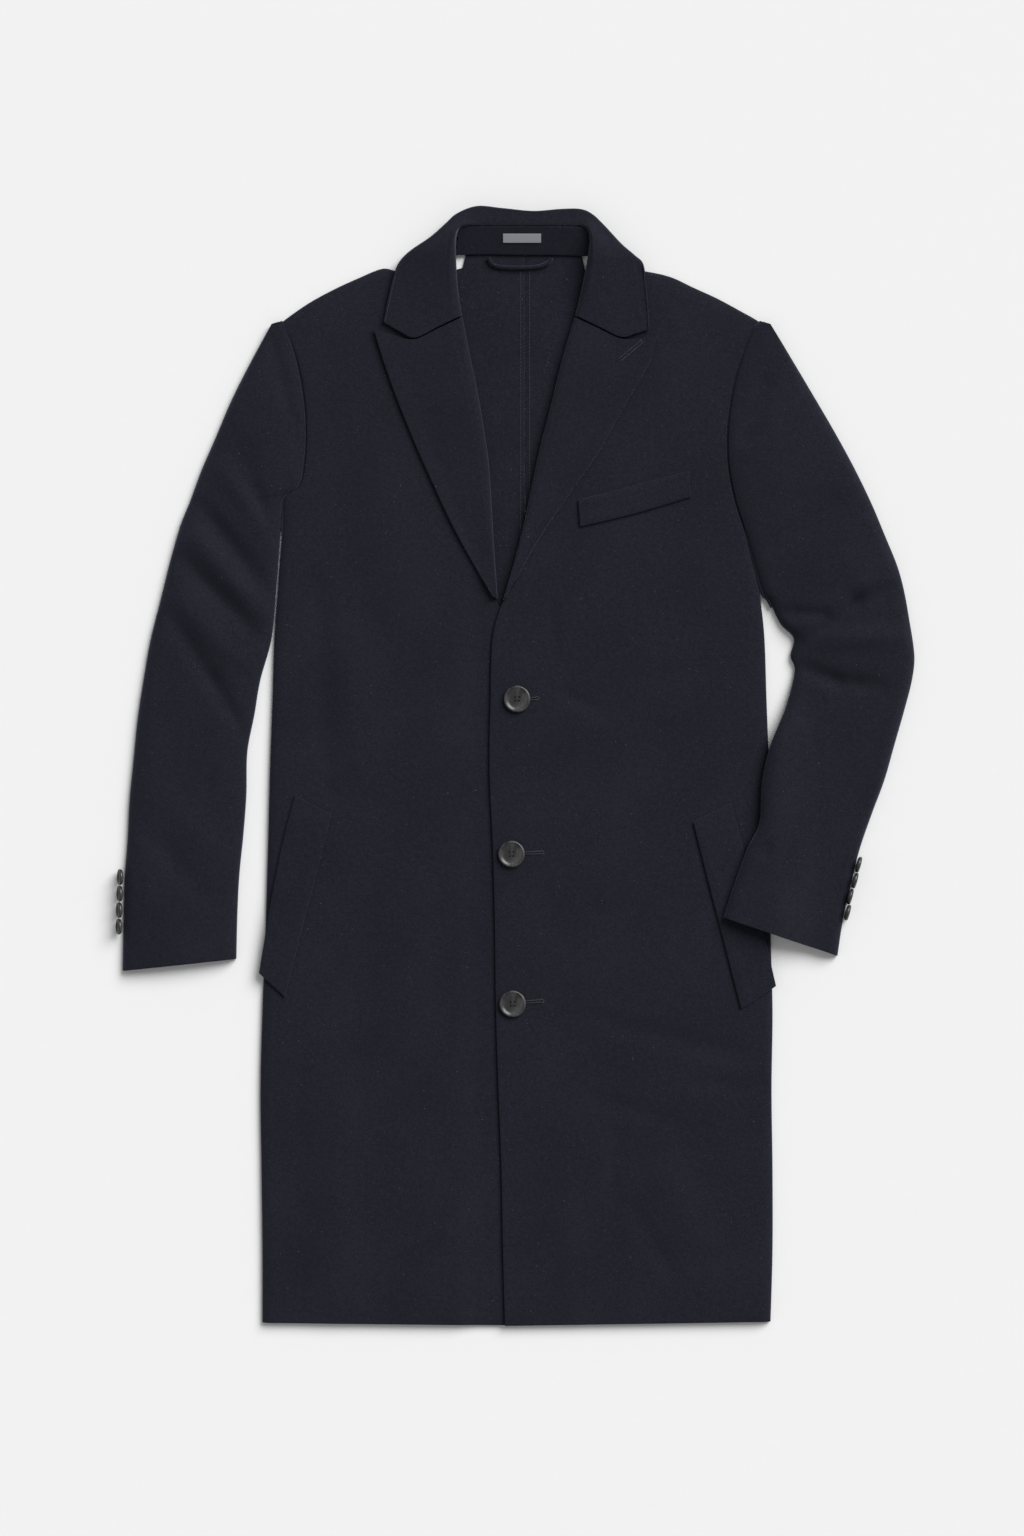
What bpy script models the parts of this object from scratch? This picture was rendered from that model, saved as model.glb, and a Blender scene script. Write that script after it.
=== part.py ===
"""Single-breasted wool topcoat laid flat on its back, peak lapels open at the neck.

Metres, +Z up. The coat lies in the XY plane with its collar toward +Y. Plan tables are in drawing
units measured right and down from the drawing's corner; plan() turns them into metres.
"""
import math

import bmesh
import bpy

# Drawing scale and the drawing point that lies over the origin
DRAWING_UNIT = 0.00093
ORIGIN_RIGHT = 517.5
ORIGIN_DOWN = 767.0

# Cloth and layer sizes
CLOTH = 0.002
LABEL_THICK = 0.0006
LAY_GAP = 0.0004
BODY_TOP = 0.0075
UNDERLAP_TOP = 0.0048
SLEEVE_PUFF = 0.0125
ROLL_FOOT = 0.004
EDGE_INSET = 0.0030
UNDER_SLEEVE_INSET = 0.0046
ARMHOLE_GAP = 0.0009
LAP_EDGE = 0.012

# Buttons and loop
FRONT_BUTTON_RADIUS = 0.0125
CUFF_BUTTON_RADIUS = 0.0075
BUTTON_THICK = 0.0036
BUTTON_STEPS = 20
CUFF_BUTTON_STEPS = 12
LOOP_RADIUS = 0.0019

COLOURS = {
    "wool": (0.012, 0.013, 0.022, 1.0),
    "horn": (0.020, 0.019, 0.021, 1.0),
    "label_cloth": (0.42, 0.43, 0.46, 1.0),
}

# How cloth turns down at an edge: distance in from the edge, share of the height reached
EDGE_TURN = ((0.0004, 0.0), (0.0, 0.34), (0.0014, 0.70), (0.0048, 0.93), (0.0110, 1.0))
# Most of a narrow row's width that the turn may take
TURN_SHARE = 0.42
SHOULDER_ROW_LENGTH = 0.068
TIP_LEVEL = 0.28

# Panel rails, one row for each station: inner edge right, down, outer edge right, down
FRONT_RIGHT_RAILS = (
    (531, 1326, 262, 1323), (530, 1250, 262, 1250), (530, 1170, 261, 1170), (530, 1090, 260, 1090),
    (530, 1010, 262, 1010), (530, 930, 265, 930), (530, 850, 267.5, 850), (530, 770, 269.5, 770),
    (530, 700, 272, 700), (526, 640, 274, 640), (490, 590, 278, 582), (488, 530, 282, 530),
    (486, 502, 284, 499), (484, 480, 300, 486), (480, 450, 306, 455), (474, 405, 306, 410),
    (467, 370, 301, 374), (460, 330, 292, 343), (451, 258, 281, 322),
)
FRONT_LEFT_RAILS = (
    (505, 1326, 771, 1322), (503, 1250, 773, 1250), (501.5, 1170, 773, 1170), (498.5, 1090, 772, 1090),
    (496, 1010, 773, 1010), (495, 930, 771, 930), (493, 850, 770.5, 850), (489.5, 770, 769.5, 770),
    (490.5, 700, 767, 700), (492.5, 640, 765, 640), (502, 604, 761.5, 604), (516, 580, 758, 580),
    (526, 540, 746, 536), (536, 503, 735, 502), (546, 465, 728, 466), (556, 425, 727, 430),
    (566, 385, 732, 390), (575, 348, 742, 355), (592, 262, 761, 322),
)
FRONT_RIGHT_SHOULDER = (
    (451, 258), (425, 265), (399, 270), (382, 268), (358, 277.5), (334, 288.5), (310, 301.5),
    (290, 315), (281, 322),
)
FRONT_LEFT_SHOULDER = (
    (592, 262), (618, 268), (642, 270), (670, 276), (694, 287), (718, 298), (742, 311), (753, 317),
    (761, 322),
)
SLEEVE_RIGHT_RAILS = (
    (279.4, 321.5, 271, 324), (291, 343, 262, 340), (299.0, 374, 248, 366), (304.0, 404, 231, 400),
    (305.4, 435, 214, 440), (303.4, 462, 201, 470), (298.6, 485, 190, 500), (282.6, 500, 180, 525),
    (280.6, 530, 170, 560), (276.6, 582, 160, 600), (271.5, 637, 150, 640), (260, 680, 143, 680),
    (254, 715, 137, 720), (247, 752, 133, 760), (246, 795, 129, 800), (243, 835, 127, 840),
    (239, 875, 124, 880), (237, 915, 123, 920), (236, 959, 122, 971),
)
SLEEVE_LEFT_RAILS = (
    (762.6, 321.5, 771, 324), (753.8, 331, 781, 340), (743.8, 355, 793, 360), (734.0, 390, 815, 397),
    (728.7, 431, 836, 433), (729.8, 466, 855, 468), (736.8, 501, 872, 503), (747.2, 535, 885, 534),
    (762, 590, 898, 566), (769, 600, 905, 592), (781, 624, 910, 620), (794, 638, 914, 645),
    (791, 656, 915, 662), (795, 671, 912, 683), (786, 706, 905, 710), (770, 745, 895, 745),
    (761.6, 782, 885, 780), (759, 822, 872, 815), (746, 850, 860, 850), (733, 886, 852, 883),
    (727, 904, 844, 917), (723, 917, 838, 956),
)
LAPEL_RIGHT_RAILS = (
    (496, 584, 487, 585), (493, 530, 457, 534), (489, 466, 425, 466), (484, 430, 410, 431),
    (478, 394, 396, 396), (471, 360, 384, 362), (462.5, 317.5, 374, 329.5),
)
LAPEL_LEFT_RAILS = (
    (513.5, 566, 526.5, 561), (520.5, 538, 542, 534), (538, 456, 596, 456), (545, 428, 612, 428),
    (552, 400, 628, 400), (562, 360, 650, 362), (574.5, 317.5, 657, 336.5),
)
LAPEL_RIGHT_GORGE = ((462.5, 317.5), (439, 328.5), (415, 339.5), (395, 336), (374, 329.5))
LAPEL_LEFT_GORGE = ((574.5, 317.5), (598, 328.5), (621, 339), (639, 338.5), (657, 336.5))
COLLAR_RAILS = (
    (462, 315.8, 383.5, 322), (459, 297, 388, 300), (457.2, 280, 393, 279), (456.5, 266, 398, 264.5),
    (456, 252, 408, 252), (456, 241, 430, 237), (458, 232, 445, 224), (464, 227.5, 457, 213.5),
    (478, 226.5, 477, 206), (502, 226.5, 502, 208), (533, 226.5, 533, 211), (560, 226.5, 560, 209),
    (578, 227, 580, 209), (586, 229.5, 592, 214), (589.5, 237, 604, 225), (589, 248, 622, 244),
    (587.5, 258, 635, 255), (586, 267, 643, 264), (582.8, 283, 646, 282), (579.5, 298, 648, 302),
    (575, 315.8, 650, 329),
)
COLLAR_RIGHT_END = ((462, 315.8), (439, 326.7), (415, 337.8), (399, 331), (383.5, 322))
COLLAR_LEFT_END = ((575, 315.8), (598, 326.7), (621, 337), (636, 333.5), (650, 329))

# Collar heights, one row for each rail station:
# foot and top at the inner edge, then top and foot at the outer edge
COLLAR_HEIGHTS = (
    (0.0040, 0.0130, 0.0104, 0.0100), (0.0040, 0.0150, 0.0106, 0.0101), (0.0040, 0.0175, 0.0110, 0.0103),
    (0.0040, 0.0195, 0.0116, 0.0104), (0.0042, 0.0210, 0.0130, 0.0), (0.0050, 0.0215, 0.0140, 0.0),
    (0.0080, 0.0205, 0.0150, 0.0), (0.0126, 0.0180, 0.0150, 0.0), (0.0140, 0.0150, 0.0140, 0.0),
    (0.0140, 0.0146, 0.0135, 0.0), (0.0140, 0.0146, 0.0135, 0.0), (0.0140, 0.0146, 0.0135, 0.0),
    (0.0140, 0.0150, 0.0140, 0.0), (0.0126, 0.0180, 0.0150, 0.0), (0.0080, 0.0205, 0.0150, 0.0),
    (0.0050, 0.0215, 0.0140, 0.0), (0.0042, 0.0210, 0.0130, 0.0), (0.0040, 0.0195, 0.0116, 0.0104),
    (0.0040, 0.0175, 0.0110, 0.0103), (0.0040, 0.0150, 0.0106, 0.0101), (0.0040, 0.0130, 0.0104, 0.0100),
)
STAND_RAILS = (
    (468, 227.6, 461.5, 253.6), (484, 227.2, 482, 254), (521, 227.2, 521, 254.6), (556, 227.2, 561, 254.8),
    (576, 228, 583.5, 254.6),
)
STAND_TOP = 0.0140
NECK_DOWN = 253.0
SHOULDER_INSET = 9.0
TIP_SHORTENING = 0.02
NECK_SHARE = 0.255
BACK_COLUMNS = (0.0, 0.13, 0.245, 0.275, 0.42, 0.57, 0.72, 0.87, 1.0)
STAND_FOOT = 0.0044
FLAP_RIGHT_RAILS = ((331.5, 814, 295, 795), (318, 868, 281, 850), (302, 930, 269.5, 910), (285, 997, 259, 973))
FLAP_LEFT_RAILS = ((693, 822, 731, 803), (710, 889, 748, 866), (725, 947, 762, 925), (741, 1009, 776, 986))
WELT_RAILS = ((578, 500, 580, 527), (634, 485.5, 636, 513.5), (689, 471, 691, 497))
LABEL_RAILS = ((503, 234.6, 503, 243.2), (541, 234.6, 541, 243.2))
LOOP_PATH = (
    (488.6, 257.2), (490.5, 261.5), (495, 265), (503, 266.6), (519, 267.2), (536, 266.4), (545, 264),
    (549.5, 260.8), (551, 257.2),
)

# Folds: from right, down, to right, down, half width, rise (a trough is negative)
RIGHT_FRONT_FOLDS = (
    (322, 640, 326, 780, 20, -0.0014), (352, 650, 358, 760, 24, 0.0016), (373, 1300, 456, 1180, 26, 0.0020),
    (345, 1080, 335, 1300, 24, 0.0016),
)
LEFT_FRONT_FOLDS = (
    (541, 985, 620, 890, 22, -0.0012), (590, 640, 640, 760, 40, 0.0018), (600, 1020, 740, 1056, 18, -0.0012),
    (640, 1110, 660, 1290, 30, 0.0020),
)
RIGHT_SLEEVE_FOLDS = (
    (210, 505, 262, 575, 16, -0.0040), (190, 560, 258, 628, 15, -0.0035), (176, 622, 240, 715, 15, -0.0032),
    (200, 540, 262, 606, 13, 0.0030), (185, 600, 245, 680, 13, 0.0028), (150, 830, 200, 890, 16, -0.0018),
)
LEFT_SLEEVE_FOLDS = (
    (800, 652, 892, 590, 16, -0.0042), (800, 668, 876, 686, 13, -0.0034), (785, 612, 830, 612, 12, -0.0028),
    (808, 640, 905, 640, 12, 0.0030), (900, 690, 850, 900, 14, 0.0022), (835, 505, 775, 548, 16, -0.0024),
)
FRONT_BUTTONS = ((517, 699), (511.5, 854), (512.6, 1003.7))
RIGHT_CUFF_BUTTONS = ((122.3, 877), (121.8, 893.5), (121.3, 910), (121.0, 926.5))
LEFT_CUFF_BUTTONS = ((856.6, 864), (853.0, 880), (848.2, 896), (845.6, 912))

# Where the image-right forearm lies over the body
FOREARM_BASE = 0.0108
RAMP_INNER = 0.236
RAMP_OUTER = 0.282
RAMP_START = 0.108
RAMP_FULL = 0.030


def plan(right, down):
    """Metres in plan for a drawing point."""
    return ((right - ORIGIN_RIGHT) * DRAWING_UNIT, (ORIGIN_DOWN - down) * DRAWING_UNIT)


def ease(low, high, value):
    """Smooth step from 0 at low to 1 at high."""
    share = min(1.0, max(0.0, (value - low) / (high - low)))
    return share * share * (3.0 - 2.0 * share)


def along(rows, share):
    """Point at a share of the way along rows of numbers, through each row in turn."""
    place = min(max(share, 0.0), 1.0) * (len(rows) - 1)
    start = min(int(place), len(rows) - 2)
    t = place - start
    first = rows[max(start - 1, 0)]
    second = rows[start]
    third = rows[start + 1]
    fourth = rows[min(start + 2, len(rows) - 1)]
    point = []
    for a, b, c, d in zip(first, second, third, fourth):
        slope_in = (c - a) / 2.0
        slope_out = (d - b) / 2.0
        cubic = 2.0 * (b - c) + slope_in + slope_out
        square = 3.0 * (c - b) - 2.0 * slope_in - slope_out
        point.append(((cubic * t + square) * t + slope_in) * t + b)
    return point


def fold_rise(folds, right, down):
    """Height that a list of folds adds at a drawing point."""
    rise = 0.0
    for start_right, start_down, end_right, end_down, half_width, height in folds:
        run_right = end_right - start_right
        run_down = end_down - start_down
        length_squared = run_right * run_right + run_down * run_down
        share = ((right - start_right) * run_right + (down - start_down) * run_down) / length_squared
        share = min(1.0, max(0.0, share))
        gap = math.hypot(right - start_right - share * run_right, down - start_down - share * run_down)
        rise += height * math.exp(-(gap / half_width) ** 2)
    return rise


def forearm_base(right, down):
    """Height of the surface under the image-right sleeve: floor, or the body it lies on."""
    x, y = plan(right, down)
    return FOREARM_BASE * (1.0 - ease(RAMP_INNER, RAMP_OUTER, x)) * (1.0 - ease(RAMP_FULL, RAMP_START, y))


def floor_base(right, down):
    """Height of the floor."""
    return 0.0


def spread(count, start=0.0, end=1.0):
    """Evenly spaced shares with both ends."""
    return [start + (end - start) * index / (count - 1) for index in range(count)]


def turned_columns(inner_turn, outer_turn, count):
    """Columns across a panel: share of the width, inset in metres, share of the height, edge weight.

    The edge weight is -1 on the inner turn, 1 on the outer turn and 0 between them.
    """
    columns = []
    if inner_turn:
        columns += [(0.0, inset, level, -1) for inset, level in EDGE_TURN]
    middle = spread(count)
    if inner_turn:
        middle = middle[1:]
    if outer_turn:
        middle = middle[:-1]
    columns += [(share, 0.0, 1.0, 0) for share in middle]
    if outer_turn:
        columns += [(1.0, -inset, level, 1) for inset, level in reversed(EDGE_TURN)]
    return columns


def ruled_point(rails, row, column, end_curve=None, start_curve=None, reach=0.12):
    """Drawing point on a panel at a row share and one of its columns."""
    inner_right, inner_down, outer_right, outer_down = along(rails, row)
    width = math.hypot(outer_right - inner_right, outer_down - inner_down) * DRAWING_UNIT
    inset = column[1] * min(1.0, TURN_SHARE * width / EDGE_TURN[-1][0])
    share = column[0] + inset / width
    right = inner_right + share * (outer_right - inner_right)
    down = inner_down + share * (outer_down - inner_down)
    for curve, edge, weight in (
        (end_curve, rails[-1], ease(1.0 - reach, 1.0, row)),
        (start_curve, rails[0], 1.0 - ease(0.0, reach, row)),
    ):
        if curve and weight > 0.0:
            curve_right, curve_down = along(curve, share)
            right += weight * (curve_right - edge[0] - share * (edge[2] - edge[0]))
            down += weight * (curve_down - edge[1] - share * (edge[3] - edge[1]))
    return right, down


def new_material(name):
    """Principled material in one of the coat's colours."""
    material = bpy.data.materials.new(name)
    material.use_nodes = True
    shader = material.node_tree.nodes["Principled BSDF"]
    shader.inputs["Base Color"].default_value = COLOURS[name.split(".")[0]]
    shader.inputs["Roughness"].default_value = 0.4 if name.startswith("horn") else 0.9
    return material


def add_part(name, mesh, material):
    """Link a mesh to the coat's collection under its node name."""
    part = bpy.data.objects.new(name, mesh)
    part.data.materials.append(new_material(material + "." + name))
    coat.objects.link(part)
    return part


def add_panel(name, rows, columns, point, material="wool", thick=CLOTH):
    """Cloth wall under an open grid: point(row, column) gives the upper face's x, y, z."""
    work = bmesh.new()
    bmesh.ops.create_grid(work, x_segments=len(columns) - 1, y_segments=len(rows) - 1, size=0.5)
    for vertex in work.verts:
        column = columns[round((vertex.co.x + 0.5) * (len(columns) - 1))]
        row = rows[round((vertex.co.y + 0.5) * (len(rows) - 1))]
        vertex.co = point(row, column)
    work.normal_update()
    if sum(face.normal.z * face.calc_area() for face in work.faces) < 0.0:
        bmesh.ops.reverse_faces(work, faces=work.faces)
    mesh = bpy.data.meshes.new(name)
    work.to_mesh(mesh)
    work.free()
    part = add_part(name, mesh, material)
    wall = part.modifiers.new("wall", "SOLIDIFY")
    wall.thickness = thick
    wall.offset = -1.0
    wall.use_rim = True
    return part


def add_front(name, rails, shoulder, folds, lapped):
    """Front panel: free at its front edge, turned down to the floor at the side and shoulder."""
    last = len(rails) - 1
    armpit = 12.0 / last
    columns = turned_columns(False, True, 9)
    turn = [(1.0 - inset / SHOULDER_ROW_LENGTH, level) for inset, level in reversed(EDGE_TURN)]
    rows = [(share, 1.0) for share in spread(27, 0.0, turn[0][0] - 0.06)] + turn

    def point(place, column):
        row, top = place
        if column[3]:
            top = max(top, TIP_LEVEL)
        right, down = ruled_point(rails, row, column, end_curve=shoulder)
        x, y = plan(right, down)
        side_drop = 1.0 - 0.8 * ease(armpit - 0.03, armpit + 0.01, row)
        level = 1.0 - (1.0 - column[2]) * side_drop
        height = BODY_TOP + fold_rise(folds, right, down) * ease(LAP_EDGE, LAP_EDGE + 0.04, abs(x))
        if lapped:
            height -= (BODY_TOP - UNDERLAP_TOP) * ease(-0.080, -0.034, x) * (1.0 - ease(0.16, 0.19, y))
        return x, y, height * level * top

    return add_panel(name, rows, columns, point)


def add_back(name, rails, shoulder, middle):
    """Back panel: flat on the floor from the centre seam to just inside the front's turned edge."""
    columns = [(share, 0.0, 1.0, 0) for share in BACK_COLUMNS]
    rows = spread(22, 0.002, 1.0)
    armpit = 12.0 / (len(rails) - 1)
    inward = 1.0 if rails[0][2] < middle else -1.0
    inset = EDGE_INSET / DRAWING_UNIT
    seam = middle - inward * 0.16
    tip_down = rails[-1][3]

    def top_line(share):
        if share < NECK_SHARE:
            return NECK_DOWN
        fade = 1.0 - ease(0.84, 1.0, share)
        return along(shoulder, (share - NECK_SHARE) / (1.0 - NECK_SHARE))[1] + SHOULDER_INSET * fade

    def point(place, column):
        row = place * (1.0 - TIP_SHORTENING * ease(0.6, 1.0, column[0]))
        side = along(rails, row)
        free = 1.0 - ease(armpit - 0.03, armpit + 0.01, row)
        edge_right = side[2] + inward * (inset * free + 0.4)
        middle_down = 1326.0 + (NECK_DOWN - 1326.0) * row
        share = column[0]
        right = seam + share * (edge_right - seam)
        down = middle_down + share * (side[3] - middle_down)
        ruled_top = NECK_DOWN + share * (tip_down - NECK_DOWN)
        down += ease(0.72, 1.0, row) * (top_line(share) - ruled_top)
        x, y = plan(right, down)
        return x, y, CLOTH

    return add_panel(name, rows, columns, point)


def add_sleeve(side, rails, folds, base):
    """Upper sleeve turned down along both edges, and the flat under sleeve between them."""
    last = len(rails) - 1
    free_row = 8.0 / last
    rows = spread(29)

    def upper(row, column):
        right, down = ruled_point(rails, row, column)
        x, y = plan(right, down)
        under = base(right, down)
        free = ease(free_row - 0.06, free_row + 0.02, row)
        low = column[2]
        if column[3] < 0:
            low = 1.0 - (1.0 - column[2]) * (0.22 + 0.78 * free)
        swell = math.sin(math.pi * min(1.0, max(0.0, column[0]))) ** 0.5
        puff = BODY_TOP + (SLEEVE_PUFF - BODY_TOP) * swell * ease(0.0, 0.22, row)
        return x, y, under + (puff + fold_rise(folds, right, down) * swell) * low

    def lower(row, column):
        free = ease(free_row - 0.06, free_row + 0.02, row)
        inset = ARMHOLE_GAP + (UNDER_SLEEVE_INSET - ARMHOLE_GAP) * free if column[0] < 0.5 else -UNDER_SLEEVE_INSET
        placed = (column[0], inset if column[3] else 0.0, 1.0, 0)
        right, down = ruled_point(rails, row, placed)
        x, y = plan(right, down)
        return x, y, base(right, down) + CLOTH

    add_panel("top_sleeve_" + side, rows, turned_columns(True, True, 9), upper)
    flat = [(share, 0.0, 1.0, edge) for share, edge in zip(spread(6), (-1, 0, 0, 0, 0, 1))]
    add_panel("under_sleeve_" + side, spread(22, 0.07, 0.998), flat, lower)


def add_lapel(name, rails, gorge):
    """Lapel facing: turned over the front's edge at the roll and laid on the front."""
    columns = [column for column in turned_columns(True, False, 7) if column[3] or column[0] > TURN_SHARE]

    def point(row, column):
        right, down = ruled_point(rails, row, column, end_curve=gorge, reach=0.3)
        x, y = plan(right, down)
        rolled = 0.0026 * (1.0 - column[0]) ** 2 * ease(0.0, 0.25, row)
        top = BODY_TOP + LAY_GAP + CLOTH + rolled
        return x, y, ROLL_FOOT + (top - ROLL_FOOT) * column[2]

    return add_panel(name, spread(16), columns, point)


def add_collar():
    """Top collar: horseshoe from tip to tip, turned down inside the neck and at its outer edge."""
    columns = turned_columns(True, True, 6)

    def point(row, column):
        right, down = ruled_point(COLLAR_RAILS, row, column, COLLAR_LEFT_END, COLLAR_RIGHT_END, 0.1)
        x, y = plan(right, down)
        inner_foot, inner_top, outer_top, outer_foot = along(COLLAR_HEIGHTS, row)
        inner_foot, outer_foot = max(inner_foot, 0.004), max(outer_foot, 0.0)
        if column[3] < 0:
            return x, y, inner_foot + (inner_top - inner_foot) * column[2]
        if column[3] > 0:
            return x, y, outer_foot + (outer_top - outer_foot) * column[2]
        return x, y, inner_top + (outer_top - inner_top) * column[0] ** 0.8

    return add_panel("top_collar", spread(37), columns, point)


def stand_height(row, share):
    """Height of the stand's face from its top seam (share 0) to the neck seam (share 1)."""
    return STAND_TOP + (STAND_FOOT - STAND_TOP) * share


def add_laid(name, rails, height, rows=6, count=4, material="wool", thick=CLOTH):
    """Flat piece laid on another: height(row, share) is its upper face."""

    def point(row, column):
        right, down = ruled_point(rails, row, column)
        x, y = plan(right, down)
        return x, y, height(row, column[0])

    return add_panel(name, spread(rows), [(share, 0.0, 1.0, 0) for share in spread(count)], point, material, thick)


def label_height(row, share):
    """Height of the label's face on the sloping stand."""
    down = 234.6 + 8.6 * share
    return stand_height(row, (down - 227.2) / 27.4) + LAY_GAP + LABEL_THICK


def add_loop():
    """Hanger loop: a round cord on the back's inside, below the neck seam."""
    curve = bpy.data.curves.new("hanger_loop_path", "CURVE")
    curve.dimensions = "3D"
    curve.bevel_depth = LOOP_RADIUS
    curve.bevel_resolution = 1
    curve.use_fill_caps = True
    path = curve.splines.new("POLY")
    path.points.add(len(LOOP_PATH) - 1)
    for point, (right, down) in zip(path.points, LOOP_PATH):
        x, y = plan(right, down)
        point.co = (x, y, CLOTH + LAY_GAP + LOOP_RADIUS, 1.0)
    part = bpy.data.objects.new("hanger_loop", curve)
    curve.materials.append(new_material("wool.hanger_loop"))
    coat.objects.link(part)
    return part


def add_button(name, radius, centre, tilt=0.0, turn=0.0):
    """Dished button with a raised rim, turned about its own axis by Screw."""
    profile = (
        (0.0, 0.62), (0.55, 0.62), (0.74, 0.72), (0.86, 1.0), (0.95, 0.94), (1.0, 0.62), (0.92, 0.16),
        (0.70, 0.0), (0.0, 0.0),
    )
    work = bmesh.new()
    points = [work.verts.new((radius * across, 0.0, BUTTON_THICK * up)) for across, up in profile]
    for first, second in zip(points, points[1:]):
        work.edges.new((first, second))
    mesh = bpy.data.meshes.new(name)
    work.to_mesh(mesh)
    work.free()
    part = add_part(name, mesh, "horn")
    lathe = part.modifiers.new("lathe", "SCREW")
    lathe.axis = "Z"
    lathe.steps = BUTTON_STEPS if radius > CUFF_BUTTON_RADIUS else CUFF_BUTTON_STEPS
    lathe.render_steps = lathe.steps
    lathe.use_merge_vertices = True
    lathe.merge_threshold = 0.00001
    part.location = centre
    part.rotation_euler = (0.0, tilt, turn)
    return part


for leftover in list(bpy.data.objects):
    bpy.data.objects.remove(leftover, do_unlink=True)
coat = bpy.data.collections.new("topcoat")
bpy.context.scene.collection.children.link(coat)

CENTRE_BACK = 525.0
add_back("back_right", FRONT_RIGHT_RAILS, FRONT_RIGHT_SHOULDER, CENTRE_BACK)
add_back("back_left", FRONT_LEFT_RAILS, FRONT_LEFT_SHOULDER, CENTRE_BACK)
add_front("front_right", FRONT_RIGHT_RAILS, FRONT_RIGHT_SHOULDER, RIGHT_FRONT_FOLDS, True)
add_front("front_left", FRONT_LEFT_RAILS, FRONT_LEFT_SHOULDER, LEFT_FRONT_FOLDS, False)
add_sleeve("right", SLEEVE_RIGHT_RAILS, RIGHT_SLEEVE_FOLDS, floor_base)
add_sleeve("left", SLEEVE_LEFT_RAILS, LEFT_SLEEVE_FOLDS, forearm_base)
add_lapel("lapel_right", LAPEL_RIGHT_RAILS, LAPEL_RIGHT_GORGE)
add_lapel("lapel_left", LAPEL_LEFT_RAILS, LAPEL_LEFT_GORGE)
add_collar()
add_laid("collar_stand", STAND_RAILS, stand_height, rows=9)
add_laid("label", LABEL_RAILS, label_height, rows=2, count=2, material="label_cloth", thick=LABEL_THICK)
add_loop()
for flap_name, flap_rails in (("hip_flap_right", FLAP_RIGHT_RAILS), ("hip_flap_left", FLAP_LEFT_RAILS)):
    add_laid(flap_name, flap_rails, lambda row, share: BODY_TOP + LAY_GAP + CLOTH, rows=7)
add_laid("chest_welt", WELT_RAILS, lambda row, share: BODY_TOP + LAY_GAP + CLOTH, rows=5, count=3)
for number, (button_right, button_down) in enumerate(FRONT_BUTTONS, 1):
    button_x, button_y = plan(button_right, button_down)
    add_button(f"front_button_{number}", FRONT_BUTTON_RADIUS, (button_x, button_y, BODY_TOP + LAY_GAP))
CUFF_BUTTON_HEIGHT = 0.0078
for number, (button_right, button_down) in enumerate(RIGHT_CUFF_BUTTONS, 1):
    button_x, button_y = plan(button_right, button_down)
    centre = (button_x, button_y, CUFF_BUTTON_HEIGHT)
    add_button(f"cuff_button_right_{number}", CUFF_BUTTON_RADIUS, centre, math.radians(-72))
for number, (button_right, button_down) in enumerate(LEFT_CUFF_BUTTONS, 1):
    button_x, button_y = plan(button_right, button_down)
    centre = (button_x, button_y, CUFF_BUTTON_HEIGHT)
    add_button(f"cuff_button_left_{number}", CUFF_BUTTON_RADIUS, centre, math.radians(80), math.radians(-15))
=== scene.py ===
"""Looks of a single-breasted wool topcoat laid flat on its back: cloth shells, buttons, stitching, stage."""

import math

import bmesh
import bpy
from mathutils import Matrix, Vector


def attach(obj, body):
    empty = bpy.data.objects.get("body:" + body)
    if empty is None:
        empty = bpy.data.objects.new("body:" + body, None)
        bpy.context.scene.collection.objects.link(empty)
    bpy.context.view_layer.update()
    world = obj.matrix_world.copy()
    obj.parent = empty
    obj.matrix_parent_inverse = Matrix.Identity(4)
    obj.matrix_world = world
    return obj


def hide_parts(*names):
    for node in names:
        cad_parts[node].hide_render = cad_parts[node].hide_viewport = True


bl_info = {
    "name": "Wool topcoat",
    "version": (1, 0, 0),
    "blender": (4, 5, 0),
    "location": "View3D > Sidebar > Topcoat",
    "description": "Builds the cloth, buttons, stitching and stage of a topcoat laid flat",
    "category": "Object",
}

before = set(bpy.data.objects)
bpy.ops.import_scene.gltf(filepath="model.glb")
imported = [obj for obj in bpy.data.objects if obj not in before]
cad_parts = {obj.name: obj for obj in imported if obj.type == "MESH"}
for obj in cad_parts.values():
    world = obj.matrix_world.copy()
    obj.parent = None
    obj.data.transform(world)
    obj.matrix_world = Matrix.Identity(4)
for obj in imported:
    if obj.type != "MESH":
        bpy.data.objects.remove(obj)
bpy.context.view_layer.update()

# Drawing scale and the drawing point that lies over the origin
DRAWING_UNIT = 0.00093
ORIGIN_RIGHT = 517.5
ORIGIN_DOWN = 767.0
PICTURE_MIDDLE = (512.0, 768.0)
PICTURE_TALL = 1536.0

# Layer sizes shared with the solids
LAY_GAP = 0.0004
UNDERLAP_DROP = 0.0027
ROLL_FOOT = 0.004
EDGE_INSET = 0.0030
UNDER_SLEEVE_INSET = 0.0046
ARMHOLE_GAP = 0.0009
LAP_EDGE = 0.012
ARMPIT_ROW = 12.0
SLEEVE_FREE_ROW = 8.0
SHOULDER_ROW_LENGTH = 0.068
TIP_LEVEL = 0.28
STAND_TOP = 0.0140
STAND_FOOT = 0.0044
NECK_DOWN = 243.0
FOLD_STRENGTH = 1.25
SEAM_RADIUS = 0.0014
SEAM_HEIGHT = 0.0044
HEM_DOWN = 1326.0
SHOULDER_INSET = 9.0
TIP_SHORTENING = 0.02
NECK_SHARE = 0.255
CENTRE_BACK = 525.0
EDGE_TURN_REACH = 0.011
TURN_COLUMNS = 9
TURN_FOOT_LEVEL = 0.30
FLAT_START = 0.14
FLAT_END = 0.86
NARROW_TURN_SHARE = 0.13
LAPEL_ROLL = 0.0026
LAPEL_SPRING = 0.0011
SEAM_SHIFT = 0.7

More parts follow.
